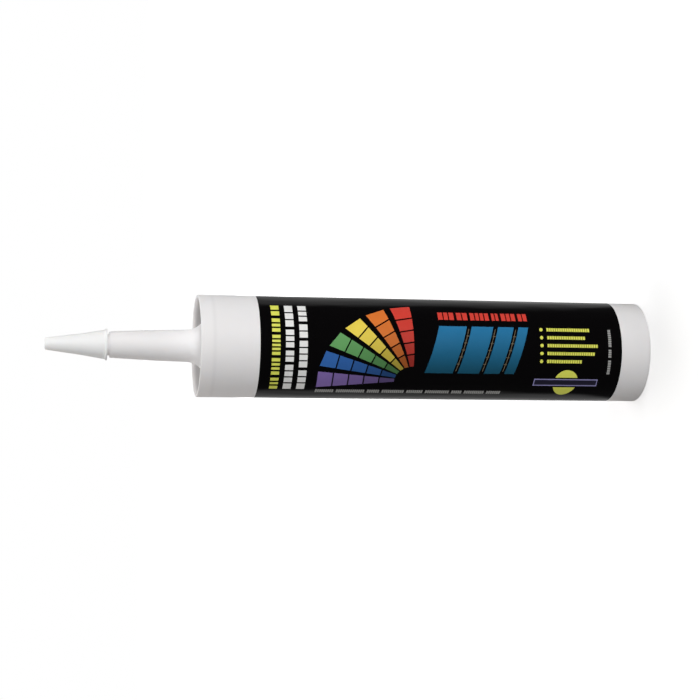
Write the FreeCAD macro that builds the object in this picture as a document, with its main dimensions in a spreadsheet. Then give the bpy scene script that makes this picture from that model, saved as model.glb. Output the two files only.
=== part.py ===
import FreeCAD
import Part

import os
import re
import sys

import Sketcher

# Caulk tube standing on its open rear end, nozzle up.
# The origin is the centre of the rear rim, and +Z runs along the tube's axis to the nozzle.
# The printed side of the label faces -Y, and its lines of print read with +X up.
# Lengths are in millimetres and angles in degrees.
SIZES = {
    # Barrel: the straight tube that holds the sealant.
    "barrel_length": 224.5,
    "barrel_diameter": 50.0,
    "barrel_wall": 1.2,
    "rim_round": 0.4,
    # Front end: a wall sunk behind the front rim, which flares up into the nozzle.
    "recess_depth": 5.0,
    "end_wall": 1.4,
    "flare_radius": 10.0,
    # Nozzle: heights are above the front rim, and it narrows by the given radius on the way.
    "root_diameter": 15.8,
    "knee_height": 20.0,
    "root_narrowing": 0.45,
    "shoulder_height": 41.9,
    "knee_narrowing": 1.1,
    "shoulder_step": 1.05,
    "stub_length": 23.0,
    "stub_tip_diameter": 4.8,
    "stub_tip_wall": 1.1,
    # Nozzle cap: a cone over the nozzle's stub.
    "cap_seat_gap": 1.15,
    "cap_clearance": 0.1,
    "cap_flange_reach": 0.68,
    "cap_flange_height": 1.9,
    "cap_skirt_wall": 1.93,
    "cap_knee_height": 12.0,
    "cap_knee_wall": 1.5,
    "cap_head_space": 0.6,
    "cap_crown": 7.15,
    "cap_tip_diameter": 5.7,
    "cap_tip_round": 0.9,
    # Foil seal across the mouth of the nozzle, inside the front wall.
    "seal_margin": 2.3,
    "seal_thickness": 0.15,
    # Plunger: a cup that is open to the rear, with a sealing lip at each end.
    "plunger_recess": 24.0,
    "plunger_height": 18.0,
    "plunger_clearance": 0.1,
    "plunger_wall": 1.6,
    "plunger_chamfer": 1.2,
    "lip_height": 3.0,
    "waist_depth": 0.9,
    "rib_count": 8.0,
    "rib_width": 1.2,
    "rib_reach": 4.0,
    "rib_drop": 3.0,
    "boss_diameter": 9.0,
    "boss_height": 3.0,
    # Label: a film sleeve around the barrel, set back from the front and rear rims.
    "label_front_margin": 28.2,
    "label_rear_margin": 15.1,
    "label_thickness": 0.06,
    "ink_gap": 0.1,
    "ink_thickness": 0.05,
    # Print: "along" runs from the label's front edge to the rear, "across" is +X of the axis.
    "column_pitch": 6.6,
    "column_line": 4.0,
    "column_half_width": 20.0,
    "fan_across": -15.2,
    "fan_height": 35.7,
    "fan_spread_angle": 83.0,
    "blade_inner": 9.0,
    "blade_length": 47.0,
    "blade_width": 10.0,
    "stripe_widest": 14.0,
    "stripe_step": 3.0,
    "stripe_gap": 2.4,
    "stripe_slant": 7.0,
    "stripe_low": -11.5,
    "stripe_high": 11.5,
    "headline_gap": 3.1,
    "headline_length": 45.2,
    "headline_height": 3.6,
    "footline_gap": 1.1,
    "footline_length": 93.2,
    "footline_height": 1.4,
    "list_across": 10.6,
    "list_pitch": 3.9,
    "list_length": 26.0,
    "list_line_height": 1.6,
    "bullet_diameter": 1.7,
    "bullet_gap": 2.0,
    "badge_across": -15.4,
    "badge_diameter": 12.4,
    "band_length": 33.0,
    "band_height": 3.4,
    "band_clearance": 0.7,
    "side_line": 1.5,
    "side_line_half_width": 11.0,
}

# Relative lengths of the dashes that stand for words in each printed line.
COLUMN_LINES = (
    ("print_lime", (5.0, 7.5, 9.0, 6.0, 4.5)),
    ("print_white", (11.0, 5.0, 8.0, 9.5)),
    ("print_white", (8.5, 12.0, 6.0, 7.0)),
)
HEADLINE_DASHES = (8.0, 5.5, 9.5, 3.5, 7.2, 4.5)
FOOTLINE_DASHES = (9.0, 14.0, 6.0, 11.0, 8.0, 12.0, 5.0, 10.0, 7.0)
SIDE_LINE_DASHES = (7.0, 4.0, 8.5)
DASH_SPACE = 1.4
LIST_SHARES = (0.85, 0.75, 1.0, 0.94, 0.69)
BLADE_INKS = ("print_red", "print_orange", "print_gold", "print_green", "print_blue", "print_violet")
STRIPE_COUNT = 4

# Places that several pieces share, worked out from the sizes.
BARREL_RADIUS = "(barrel_diameter / 2)"
BORE_RADIUS = f"({BARREL_RADIUS} - barrel_wall)"
FRONT_OUTER = "(barrel_length - recess_depth)"
FRONT_INNER = f"({FRONT_OUTER} - end_wall)"
FLARE_TOP = f"({FRONT_OUTER} + flare_radius)"
ROOT_RADIUS = "(root_diameter / 2)"
FLARE_EDGE = f"({ROOT_RADIUS} + flare_radius)"
KNEE = "(barrel_length + knee_height)"
KNEE_RADIUS = f"({ROOT_RADIUS} - root_narrowing)"
SHOULDER = "(barrel_length + shoulder_height)"
SHOULDER_RADIUS = f"({KNEE_RADIUS} - knee_narrowing)"
STUB_RADIUS = f"({SHOULDER_RADIUS} - shoulder_step)"
STUB_TIP = f"({SHOULDER} + stub_length)"
STUB_TIP_RADIUS = "(stub_tip_diameter / 2)"
CAP_BOTTOM = f"({SHOULDER} + cap_seat_gap)"
CAP_INNER_TOP = f"({STUB_TIP} + cap_head_space)"
CAP_TOP = f"({CAP_INNER_TOP} + cap_crown)"
SEAL_BOTTOM = f"({FRONT_INNER} - seal_thickness)"
PLUNGER_FRONT = "(plunger_recess + plunger_height)"
PLUNGER_FLOOR = f"({PLUNGER_FRONT} - plunger_wall)"
LIP_RADIUS = f"({BORE_RADIUS} - plunger_clearance)"
WAIST_RADIUS = f"({LIP_RADIUS} - waist_depth)"
CUP_RADIUS = f"({WAIST_RADIUS} - plunger_wall)"
LABEL_TOP = "(barrel_length - label_front_margin)"
LABEL_HEIGHT = f"({LABEL_TOP} - label_rear_margin)"
LABEL_RADIUS = f"({BARREL_RADIUS} + label_thickness)"
INK_INNER = f"({LABEL_RADIUS} + ink_gap)"
INK_OUTER = f"({INK_INNER} + ink_thickness)"

# The print stands in five blocks along the label, with equal spaces before, between and after them.
COLUMN_BLOCK = f"({len(COLUMN_LINES) - 1} * column_pitch + column_line)"
STRIPE_WIDTHS = f"({STRIPE_COUNT} * stripe_widest - {sum(range(STRIPE_COUNT))} * stripe_step)"
STRIPE_BLOCK = f"({STRIPE_WIDTHS} + {STRIPE_COUNT - 1} * stripe_gap + stripe_slant)"
LIST_BLOCK = "(bullet_diameter + bullet_gap + list_length)"
BLOCKS = f"({COLUMN_BLOCK} + blade_length + {STRIPE_BLOCK} + {LIST_BLOCK} + side_line)"
SPACE = f"(({LABEL_HEIGHT} - {BLOCKS}) / 6)"
FAN_PIVOT = f"(2 * {SPACE} + {COLUMN_BLOCK} + blade_length)"
STRIPES_START = f"({FAN_PIVOT} + {SPACE})"
LIST_START = f"({STRIPES_START} + {STRIPE_BLOCK} + {SPACE})"
SIDE_LINE_START = f"({LIST_START} + {LIST_BLOCK} + {SPACE})"
FAN_FLATTENING = "(fan_height / blade_length)"

doc = FreeCAD.newDocument("caulk_tube")


def make_sheet():
    sizes = doc.addObject("Spreadsheet::Sheet", "Sizes")
    for row, (name, size) in enumerate(SIZES.items(), start=1):
        sizes.set(f"A{row}", name)
        sizes.set(f"B{row}", str(size))
        sizes.setAlias(f"B{row}", name)
    doc.recompute()
    return sizes


sheet = make_sheet()


def full_names(text):
    """Writes an expression with the sheet's name before each size in it."""
    return re.sub(r"[a-z_]+", lambda word: f"Sizes.{word[0]}" if word[0] in SIZES else word[0], text)


def value(text):
    return float(sheet.evalExpression(full_names(text)))


def bind(thing, prop, text):
    thing.setExpression(prop, full_names(text))


def constrain(sketch, rows):
    """Adds constraints, each with a name and the expression that drives it, or with neither."""
    for constraint, name, text in rows:
        if name:
            constraint.Name = name
    sketch.addConstraint([row[0] for row in rows])
    for constraint, name, text in rows:
        if name:
            bind(sketch, f"Constraints.{name}", text)


def point_rows(geometry, end, name, x, y):
    """Constraints that hold one sketch point at x, y from the sketch's origin."""
    rows = []
    for axis, place, line in (("X", x, -2), ("Y", y, -1)):
        if place == "0":
            rows.append((Sketcher.Constraint("PointOnObject", geometry, end, line), None, None))
        else:
            distance = Sketcher.Constraint(f"Distance{axis}", -1, 1, geometry, end, value(place))
            rows.append((distance, f"{name}_{axis.lower()}", place))
    return rows


def add_arc(sketch, name, start, end, centre, radius):
    """Draws the short arc from start to end. Gives its constraint, and its end numbers in order."""
    middle = ((start + end) / 2 - centre).normalize()
    arc = sketch.addGeometry(Part.Arc(start, centre + middle * value(radius), end), False)
    row = (Sketcher.Constraint("Radius", arc, value(radius)), f"{name}_radius", radius)
    first, last = [sketch.getPoint(arc, number).distanceToPoint(start) for number in (1, 2)]
    return row, (1, 2) if first < last else (2, 1)


def add_outline(sketch, name, points, arcs=None):
    """Draws a closed outline through points given as pairs of expressions.
    The side after a point is straight, or the arc whose centre and radius arcs gives for it."""
    spots = [FreeCAD.Vector(value(x), value(y), 0) for x, y in points]
    first = sketch.GeometryCount
    rows = []
    ends = []
    for i, spot in enumerate(spots):
        following = spots[(i + 1) % len(spots)]
        if arcs and i in arcs:
            x, y, radius = arcs[i]
            centre = FreeCAD.Vector(value(x), value(y), 0)
            row, order = add_arc(sketch, f"{name}{i}", spot, following, centre, radius)
            rows.append(row)
            ends.append(order)
        else:
            sketch.addGeometry(Part.LineSegment(spot, following), False)
            ends.append((1, 2))
    for i, (x, y) in enumerate(points):
        before = (i - 1) % len(points)
        joined = Sketcher.Constraint("Coincident", first + before, ends[before][1], first + i, ends[i][0])
        rows.append((joined, None, None))
        rows += point_rows(first + i, ends[i][0], f"{name}{i}", x, y)
    constrain(sketch, rows)


def body_sketch(body, name):
    """Starts a sketch on the body's own XZ plane, with the tube's axis as its vertical."""
    sketch = body.newObject("Sketcher::SketchObject", name)
    plane = [feature for feature in body.Origin.OriginFeatures if feature.Role == "XZ_Plane"][0]
    sketch.AttachmentSupport = [(plane, "")]
    sketch.MapMode = "FlatFace"
    return sketch


def turned_body(label, points, arcs=None):
    """Turns a half section, given as radius and height pairs, about the tube's axis."""
    body = doc.addObject("PartDesign::Body", label)
    body.Label = label
    sketch = body_sketch(body, f"{label}_section")
    add_outline(sketch, "corner", points, arcs)
    turn = body.newObject("PartDesign::Revolution", f"{label}_turn")
    turn.Profile = sketch
    turn.ReferenceAxis = (sketch, ["V_Axis"])
    turn.Angle = 360
    body.Tip = turn
    doc.recompute()
    return body


def rings_at(shape, places):
    """Names the circular edges of a turned shape at the given radius and height pairs."""
    wanted = [(value(radius), value(height)) for radius, height in places]
    names = []
    for i, edge in enumerate(shape.Edges, start=1):
        if isinstance(edge.Curve, Part.Circle):
            radius, height = edge.Curve.Radius, edge.Curve.Center.z
            if any(abs(radius - r) < 1e-4 and abs(height - z) < 1e-4 for r, z in wanted):
                names.append(f"Edge{i}")
    return names


def round_rings(body, name, places, radius):
    base = body.Tip
    rings = rings_at(base.Shape, places)
    if len(rings) != len(places):
        sys.exit(f"{name} found {len(rings)} of {len(places)} edges")
    fillet = body.newObject("PartDesign::Fillet", name)
    fillet.Base = (base, rings)
    bind(fillet, "Radius", radius)
    body.Tip = fillet
    doc.recompute()


def make_cartridge_body():
    """Barrel, sunk front wall and nozzle, moulded as one hollow piece."""
    body = turned_body(
        "cartridge_body",
        [
            (BARREL_RADIUS, "0"),
            (BARREL_RADIUS, "barrel_length"),
            (BORE_RADIUS, "barrel_length"),
            (BORE_RADIUS, FRONT_OUTER),
            (FLARE_EDGE, FRONT_OUTER),
            (ROOT_RADIUS, FLARE_TOP),
            (KNEE_RADIUS, KNEE),
            (SHOULDER_RADIUS, SHOULDER),
            (STUB_RADIUS, SHOULDER),
            (STUB_TIP_RADIUS, STUB_TIP),
            (f"{STUB_TIP_RADIUS} - stub_tip_wall", STUB_TIP),
            (f"{STUB_RADIUS} - end_wall", SHOULDER),
            (f"{KNEE_RADIUS} - end_wall", KNEE),
            (f"{ROOT_RADIUS} - end_wall", FLARE_TOP),
            (FLARE_EDGE, FRONT_INNER),
            (BORE_RADIUS, FRONT_INNER),
            (BORE_RADIUS, "0"),
        ],
        {
            4: (FLARE_EDGE, FLARE_TOP, "flare_radius"),
            13: (FLARE_EDGE, FLARE_TOP, "flare_radius + end_wall"),
        },
    )
    rims = [(BARREL_RADIUS, "0"), (BARREL_RADIUS, "barrel_length")]
    round_rings(body, "rim_rounding", rims, "rim_round")
    return body


def stub_radius_at(height):
    """Radius of the nozzle's stub at a height above its shoulder."""
    return f"({STUB_RADIUS} - ({STUB_RADIUS} - {STUB_TIP_RADIUS}) * ({height}) / stub_length)"


def make_nozzle_cap():
    """Hollow cone with a flange at its mouth, which slips over the nozzle's stub."""
    mouth = f"({stub_radius_at('cap_seat_gap')} + cap_clearance)"
    skirt = f"({stub_radius_at('cap_seat_gap + cap_flange_height')} + cap_clearance + cap_skirt_wall)"
    knee = f"({stub_radius_at('cap_seat_gap + cap_knee_height')} + cap_clearance + cap_knee_wall)"
    flange = f"({skirt} + cap_flange_reach)"
    flange_top = f"({CAP_BOTTOM} + cap_flange_height)"
    bore_end = f"({STUB_TIP_RADIUS} + cap_clearance)"
    body = turned_body(
        "nozzle_cap",
        [
            (mouth, CAP_BOTTOM),
            (flange, CAP_BOTTOM),
            (flange, flange_top),
            (skirt, flange_top),
            (knee, f"{CAP_BOTTOM} + cap_knee_height"),
            ("cap_tip_diameter / 2", CAP_TOP),
            ("0", CAP_TOP),
            ("0", CAP_INNER_TOP),
            (bore_end, CAP_INNER_TOP),
            (bore_end, STUB_TIP),
        ],
    )
    round_rings(body, "cap_tip_rounding", [("cap_tip_diameter / 2", CAP_TOP)], "cap_tip_round")
    round_rings(body, "cap_flange_rounding", [(flange, CAP_BOTTOM), (flange, flange_top)], "rim_round")
    return body


def make_foil_seal():
    """Foil disc across the nozzle's mouth, which is pierced before use."""
    edge = f"({BORE_RADIUS} - seal_margin)"
    return turned_body(
        "foil_seal",
        [("0", SEAL_BOTTOM), (edge, SEAL_BOTTOM), (edge, FRONT_INNER), ("0", FRONT_INNER)],
    )


def make_sealant():
    """Column of sealant between the plunger and the foil seal."""
    return turned_body(
        "sealant",
        [("0", PLUNGER_FRONT), (BORE_RADIUS, PLUNGER_FRONT), (BORE_RADIUS, SEAL_BOTTOM), ("0", SEAL_BOTTOM)],
    )


def make_plunger():
    """Cup with two sealing lips, a boss on its floor and ribs between its floor and wall."""
    lip_top = "(plunger_recess + lip_height)"
    front_lip = f"({PLUNGER_FRONT} - plunger_chamfer - lip_height)"
    body = turned_body(
        "plunger",
        [
            (CUP_RADIUS, "plunger_recess"),
            (LIP_RADIUS, "plunger_recess"),
            (LIP_RADIUS, lip_top),
            (WAIST_RADIUS, f"{lip_top} + waist_depth"),
            (WAIST_RADIUS, f"{front_lip} - waist_depth"),
            (LIP_RADIUS, front_lip),
            (LIP_RADIUS, f"{PLUNGER_FRONT} - plunger_chamfer"),
            (f"{LIP_RADIUS} - plunger_chamfer", PLUNGER_FRONT),
            ("0", PLUNGER_FRONT),
            ("0", f"{PLUNGER_FLOOR} - boss_height"),
            ("boss_diameter / 2", f"{PLUNGER_FLOOR} - boss_height"),
            ("boss_diameter / 2", PLUNGER_FLOOR),
            (CUP_RADIUS, PLUNGER_FLOOR),
        ],
    )
    plain_volume = body.Tip.Shape.Volume
    sketch = body_sketch(body, "rib_section")
    in_wall = f"({CUP_RADIUS} + plunger_wall / 2)"
    in_floor = f"({PLUNGER_FLOOR} + plunger_wall / 2)"
    add_outline(
        sketch,
        "rib",
        [
            (f"{CUP_RADIUS} - rib_reach", in_floor),
            (f"{CUP_RADIUS} - rib_reach", f"{PLUNGER_FLOOR} - rib_drop"),
            (CUP_RADIUS, lip_top),
            (in_wall, lip_top),
            (in_wall, in_floor),
        ],
    )
    rib = body.newObject("PartDesign::Pad", "rib")
    rib.Profile = sketch
    rib.Midplane = True
    bind(rib, "Length", "rib_width")
    body.Tip = rib
    doc.recompute()
    ribs = body.newObject("PartDesign::PolarPattern", "ribs")
    ribs.Originals = [rib]
    ribs.Axis = (sketch, ["V_Axis"])
    ribs.Angle = 360
    bind(ribs, "Occurrences", "rib_count")
    body.Tip = ribs
    doc.recompute()
    if body.Tip.Shape.Volume <= plain_volume:
        sys.exit("the plunger's ribs added nothing")
    return body


def make_sleeve(label, outer, inner):
    """Thin tube over the label's length, cut from two cylinders."""
    parts = []
    for name, radius in (("outside", outer), ("inside", inner)):
        cylinder = doc.addObject("Part::Cylinder", f"{label}_{name}")
        bind(cylinder, "Radius", radius)
        bind(cylinder, "Height", LABEL_HEIGHT)
        bind(cylinder, "Placement.Base.z", "label_rear_margin")
        parts.append(cylinder)
    sleeve = doc.addObject("Part::Cut", label)
    sleeve.Base, sleeve.Tool = parts
    sleeve.Label = label
    doc.recompute()
    return sleeve


def add_patch(sketch, name, along, across):
    """Draws a rectangle of print from its limits along and across the label."""
    high, low = [f"{LABEL_TOP} - ({limit})" for limit in along]
    left, right = across
    add_outline(sketch, name, [(left, low), (right, low), (right, high), (left, high)])


def dash_shares(dashes):
    """Start and end of each dash, as shares of its line's length, with a space between them."""
    total = sum(dashes) + DASH_SPACE * (len(dashes) - 1)
    shares = []
    start = 0.0
    for dash in dashes:
        shares.append((round(start / total, 4), round((start + dash) / total, 4)))
        start += dash + DASH_SPACE
    return shares


def print_line_around(sketch, name, along, thickness, half_width, dashes):
    """A line of dashes that runs around the barrel, fitted to a width."""
    for i, dash in enumerate(dash_shares(dashes)):
        across = [f"{half_width} * {round(2 * share - 1, 4)}" for share in dash]
        add_patch(sketch, f"{name}{i}_", (along, f"{along} + {thickness}"), across)


def print_line_along(sketch, name, along, low, high, length, dashes):
    """A line of dashes that runs along the barrel, fitted to a length."""
    for i, dash in enumerate(dash_shares(dashes)):
        ends = [f"{along} + {share} * {length}" for share in dash]
        add_patch(sketch, f"{name}{i}_", ends, (low, high))


def print_lines(sketches):
    """Every printed line of words, as dashes."""
    for i, (ink, dashes) in enumerate(COLUMN_LINES):
        along = f"{SPACE} + {i} * column_pitch"
        print_line_around(sketches[ink], f"column{i}_", along, "column_line", "column_half_width", dashes)
    white = sketches["print_white"]
    print_line_around(
        white, "side", SIDE_LINE_START, "side_line", "side_line_half_width", SIDE_LINE_DASHES
    )
    start = f"{FAN_PIVOT} - blade_length"
    high = f"(fan_across - blade_width / 2 * {FAN_FLATTENING} - footline_gap)"
    low = f"{high} - footline_height"
    print_line_along(white, "foot", start, low, high, "footline_length", FOOTLINE_DASHES)
    start = f"{STRIPES_START} + stripe_slant"
    low = "(stripe_high + headline_gap)"
    high = f"{low} + headline_height"
    red = sketches["print_red"]
    print_line_along(red, "head", start, low, high, "headline_length", HEADLINE_DASHES)


def print_fan(sketches):
    """Blades of six colours spread from one pivot, like a fan of colour samples.
    The last blade lies along the tube."""
    last = len(BLADE_INKS) - 1
    for i, ink in enumerate(BLADE_INKS):
        angle = f"(180 - fan_spread_angle * {(last - i) / last})"
        corners = []
        for end, side in (("inner", -1), ("length", -1), ("length", 1), ("inner", 1)):
            reach = f"blade_{end}"
            half = f"({side} * blade_width / 2 * {reach} / blade_length)"
            along = f"({FAN_PIVOT} + {reach} * cos({angle}) - {half} * sin({angle}))"
            rise = f"({reach} * sin({angle}) + {half} * cos({angle}))"
            corners.append((f"fan_across + {rise} * {FAN_FLATTENING}", f"{LABEL_TOP} - {along}"))
        add_outline(sketches[ink], "blade", corners)


def print_stripes(sketch):
    """Slanted stripes, each narrower than the one before."""
    start = STRIPES_START
    for i in range(STRIPE_COUNT):
        width = f"(stripe_widest - {i} * stripe_step)"
        near = f"({LABEL_TOP} - ({start}))"
        corners = [
            ("stripe_low", near),
            ("stripe_high", f"{near} - stripe_slant"),
            ("stripe_high", f"{near} - stripe_slant - {width}"),
            ("stripe_low", f"{near} - {width}"),
        ]
        add_outline(sketch, f"stripe{i}_", corners)
        start = f"{start} + {width} + stripe_gap"


def print_list(sketch):
    """Five short lines, each after a round bullet."""
    height = f"{LABEL_TOP} - {LIST_START} - bullet_diameter / 2"
    start = f"{LIST_START} + bullet_diameter + bullet_gap"
    for i, share in enumerate(LIST_SHARES):
        across = f"(list_across - {i} * list_pitch)"
        centre = FreeCAD.Vector(value(across), value(height), 0)
        round_spot = Part.Circle(centre, FreeCAD.Vector(0, 0, 1), value("bullet_diameter / 2"))
        bullet = sketch.addGeometry(round_spot, False)
        size = Sketcher.Constraint("Diameter", bullet, value("bullet_diameter"))
        rows = point_rows(bullet, 3, f"bullet{i}", across, height)
        constrain(sketch, rows + [(size, f"bullet{i}_size", "bullet_diameter")])
        edges = (f"{across} - list_line_height / 2", f"{across} + list_line_height / 2")
        add_patch(sketch, f"item{i}_", (start, f"{start} + {share} * list_length"), edges)


def print_badge(sketches):
    """A disc in two halves below the list, with a band between them."""
    along = f"({LIST_START} + {LIST_BLOCK} / 2)"
    ends = (f"{along} - band_length / 2", f"{along} + band_length / 2")
    edges = ("badge_across - band_height / 2", "badge_across + band_height / 2")
    add_patch(sketches["print_violet"], "band", ends, edges)
    height = f"({LABEL_TOP} - {along})"
    gap = "(band_height / 2 + band_clearance)"
    half_chord = f"sqrt((badge_diameter / 2)^2 - {gap}^2)"
    for name, side in (("upper", "+"), ("lower", "-")):
        chord = f"badge_across {side} {gap}"
        points = [(chord, f"{height} - {half_chord}"), (chord, f"{height} + {half_chord}")]
        arc = {0: ("badge_across", height, "badge_diameter / 2")}
        add_outline(sketches["print_lime"], f"{name}_half", points, arc)


def make_print():
    """Print on the label's front, as one thin raised layer for each ink."""
    film = make_sleeve("ink_film", INK_OUTER, INK_INNER)
    upright = FreeCAD.Rotation(FreeCAD.Vector(1, 0, 0), 90)
    sketches = {}
    for ink in ("print_lime", "print_white", "print_teal") + BLADE_INKS:
        sketch = doc.addObject("Sketcher::SketchObject", f"{ink}_outline")
        sketch.Placement = FreeCAD.Placement(FreeCAD.Vector(0, 0, 0), upright)
        sketches[ink] = sketch
    print_lines(sketches)
    print_fan(sketches)
    print_stripes(sketches["print_teal"])
    print_list(sketches["print_lime"])
    print_badge(sketches)
    layers = []
    for ink, sketch in sketches.items():
        prism = doc.addObject("Part::Extrusion", f"{ink}_prism")
        prism.Base = sketch
        prism.DirMode = "Custom"
        prism.Dir = FreeCAD.Vector(0, -1, 0)
        prism.Solid = True
        bind(prism, "LengthFwd", f"{INK_OUTER} + ink_thickness")
        layer = doc.addObject("Part::Common", ink)
        layer.Base = prism
        layer.Tool = film
        layer.Label = ink
        layers.append(layer)
    doc.recompute()
    return layers


def check(parts):
    """Stops if any object failed, or if any piece is empty or invalid."""
    for thing in doc.Objects:
        if "Invalid" in thing.State or "Error" in thing.State:
            sys.exit(f"{thing.Label} is {thing.State}")
    for part in parts:
        if part.Shape.isNull() or not part.Shape.isValid() or not part.Shape.Solids:
            sys.exit(f"{part.Label} has no valid solid")


def write(parts):
    os.makedirs("parts", exist_ok=True)
    for part in parts:
        part.Shape.exportStep(f"parts/{part.Label}.step")
        print(f"{part.Label}: {len(part.Shape.Solids)} solid(s), {part.Shape.Volume:.1f} mm3")


pieces = [
    make_cartridge_body(),
    make_nozzle_cap(),
    make_foil_seal(),
    make_sealant(),
    make_plunger(),
    make_sleeve("label", LABEL_RADIUS, BARREL_RADIUS),
] + make_print()
doc.recompute()
check(pieces)
write(pieces)
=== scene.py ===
# %% [markdown]
# # A caulk tube, dressed for its picture
# The part is a sealant cartridge that stands on its open rear end with its nozzle up.
# Its construction is already fixed: a frame of plain solids gives every piece its place and size.
# This lesson builds the looks around that frame, one piece at a time, and then sets up the studio.
# The frame is loaded first, because every later step measures something on it.

# %% Load the frame
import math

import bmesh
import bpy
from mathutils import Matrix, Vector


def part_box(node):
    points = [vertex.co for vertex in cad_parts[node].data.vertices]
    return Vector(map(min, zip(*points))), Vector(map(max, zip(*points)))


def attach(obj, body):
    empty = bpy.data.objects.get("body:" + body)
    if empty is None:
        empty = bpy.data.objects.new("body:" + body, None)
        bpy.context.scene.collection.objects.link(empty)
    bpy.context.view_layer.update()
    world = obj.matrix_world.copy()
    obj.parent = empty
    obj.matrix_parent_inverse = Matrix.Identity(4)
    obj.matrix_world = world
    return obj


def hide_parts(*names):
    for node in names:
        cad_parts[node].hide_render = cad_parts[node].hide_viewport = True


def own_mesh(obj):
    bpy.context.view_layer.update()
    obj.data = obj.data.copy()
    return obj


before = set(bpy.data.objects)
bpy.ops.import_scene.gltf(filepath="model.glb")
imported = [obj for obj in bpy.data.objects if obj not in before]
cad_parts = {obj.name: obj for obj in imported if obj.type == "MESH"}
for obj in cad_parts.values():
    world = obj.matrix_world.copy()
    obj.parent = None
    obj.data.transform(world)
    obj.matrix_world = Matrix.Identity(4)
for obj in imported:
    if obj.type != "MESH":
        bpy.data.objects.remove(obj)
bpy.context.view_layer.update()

# %% [markdown]
# ## Measuring
# Blender works in metres here and the tube is drawn in millimetres, so one factor turns one into the other.
# Heights are above the rear rim. Most of them are read from the frame's own pieces.

MM = 0.001


def reach(node):
    """A node's lowest height, highest height and radius, in millimetres."""
    low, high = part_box(node)
    return low.z / MM, high.z / MM, high.x / MM


cap_bottom, cap_top, cap_lip_radius = reach("nozzle_cap")
plunger_rear, plunger_front, plunger_radius = reach("plunger")
sealant_rear, sealant_front, bore_radius = reach("sealant")
label_rear, label_front, label_radius = reach("label")
ink_radius = -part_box("print_white")[0].y / MM
print(f"label from {label_rear:.1f} to {label_front:.1f} mm, radius {label_radius:.2f} mm")

# %% [markdown]
# ## Drawing on a lathe
# The barrel, nozzle, cap, plunger and sealant are all round about one axis, as turned work is.
# They could be cylinders cut and joined, but a lathe is closer to how their moulds were made.
# Half of the section is drawn point by point, its small corners are rounded, and it is spun about the axis.
# Large curves come from a formula, so they stay true arcs, and tight corners come from a bevel.

# %% Lathe tools
SPIN_STEPS = 180
ROUND_SEGMENTS = 4
SMOOTH_ANGLE = math.radians(32)
MERGE_DISTANCE = 0.002 * MM
SAME_PLACE = 0.001 * MM
NEARBY = 0.01 * MM


def deselect_all():
    if bpy.context.object and bpy.context.object.mode != "OBJECT":
        bpy.ops.object.mode_set(mode="OBJECT")
    bpy.ops.object.select_all(action="DESELECT")


def arc(centre, radius, start, end, steps):
    """Points of a section on an arc between two angles, in degrees."""
    turns = [math.radians(start + (end - start) * i / steps) for i in range(steps + 1)]
    return [(centre[0] + radius * math.cos(t), centre[1] + radius * math.sin(t)) for t in turns]


def select_points(mesh_object, test):
    """In edit mode, selects the vertices whose place passes a test, and gives their number."""
    bpy.ops.mesh.select_mode(type="VERT")
    bpy.ops.mesh.select_all(action="DESELECT")
    mesh = bmesh.from_edit_mesh(mesh_object.data)
    chosen = [vertex for vertex in mesh.verts if test(vertex.co)]
    for vertex in chosen:
        vertex.select = True
    mesh.select_flush_mode()
    bmesh.update_edit_mesh(mesh_object.data)
    return len(chosen)


# %% Sections and how they are spun
def section_point(radius, height):
    """A point of a section, given by its distance from the axis and its height in millimetres."""
    return Vector((radius * MM, 0, height * MM))


def draw_section(name, corners):
    """Draws a closed half section from radius and height pairs, by pulling one point to the next."""
    first, *others = [section_point(*corner) for corner in corners]
    deselect_all()
    bpy.ops.mesh.primitive_plane_add(size=MM, location=(0, 0, 0))
    section = bpy.context.object
    section.name = section.data.name = name
    bpy.ops.object.mode_set(mode="EDIT")
    bpy.ops.mesh.merge(type="CENTER")
    bpy.ops.transform.translate(value=first)
    last = first
    for point in others:
        bpy.ops.mesh.extrude_vertices_move(TRANSFORM_OT_translate={"value": point - last})
        last = point
    select_points(section, lambda co: min((co - first).length, (co - last).length) < SAME_PLACE)
    bpy.ops.mesh.edge_face_add()
    return section


def round_corners(section, rounds):
    """Bevels corners of a section, given as radius, height, and the length of the round."""
    for radius, height, size in rounds:
        corner = section_point(radius, height)
        found = select_points(section, lambda co: (co - corner).length < SAME_PLACE)
        assert found == 1, f"{section.name}: {found} corners at {radius}, {height}"
        bpy.ops.mesh.bevel(offset=size * MM, segments=ROUND_SEGMENTS, affect="VERTICES")


def spin_section(section):
    """Spins a section about the tube's axis and closes the seam and the poles."""
    bpy.ops.mesh.select_all(action="SELECT")
    bpy.ops.mesh.spin(steps=SPIN_STEPS, angle=2 * math.pi, center=(0, 0, 0), axis=(0, 0, 1))
    bpy.ops.mesh.select_all(action="SELECT")
    bpy.ops.mesh.remove_doubles(threshold=MERGE_DISTANCE)
    bpy.ops.mesh.select_all(action="SELECT")
    bpy.ops.mesh.normals_make_consistent(inside=False)
    bpy.ops.object.mode_set(mode="OBJECT")
    bpy.ops.object.shade_smooth_by_angle(angle=SMOOTH_ANGLE)
    section.data.calc_loop_triangles()
    print(f"{section.name}: {len(section.data.loop_triangles)} triangles")
    return section


def turn(name, corners, rounds=()):
    """A turned piece, from its half section and the rounds of its corners."""
    section = draw_section(name, corners)
    round_corners(section, rounds)
    return spin_section(section)


# %% [markdown]
# ## The cartridge body
# Barrel, front wall and nozzle are one moulding on the real tube, so they are one section here too.
# The front wall sits a few millimetres behind the front rim and flares up into the nozzle.
# The flare and the funnel inside it are arcs about one centre, which keeps the wall even.
# The rims get small rounds, because a sharp edge would catch no light and look cut from card.

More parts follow.
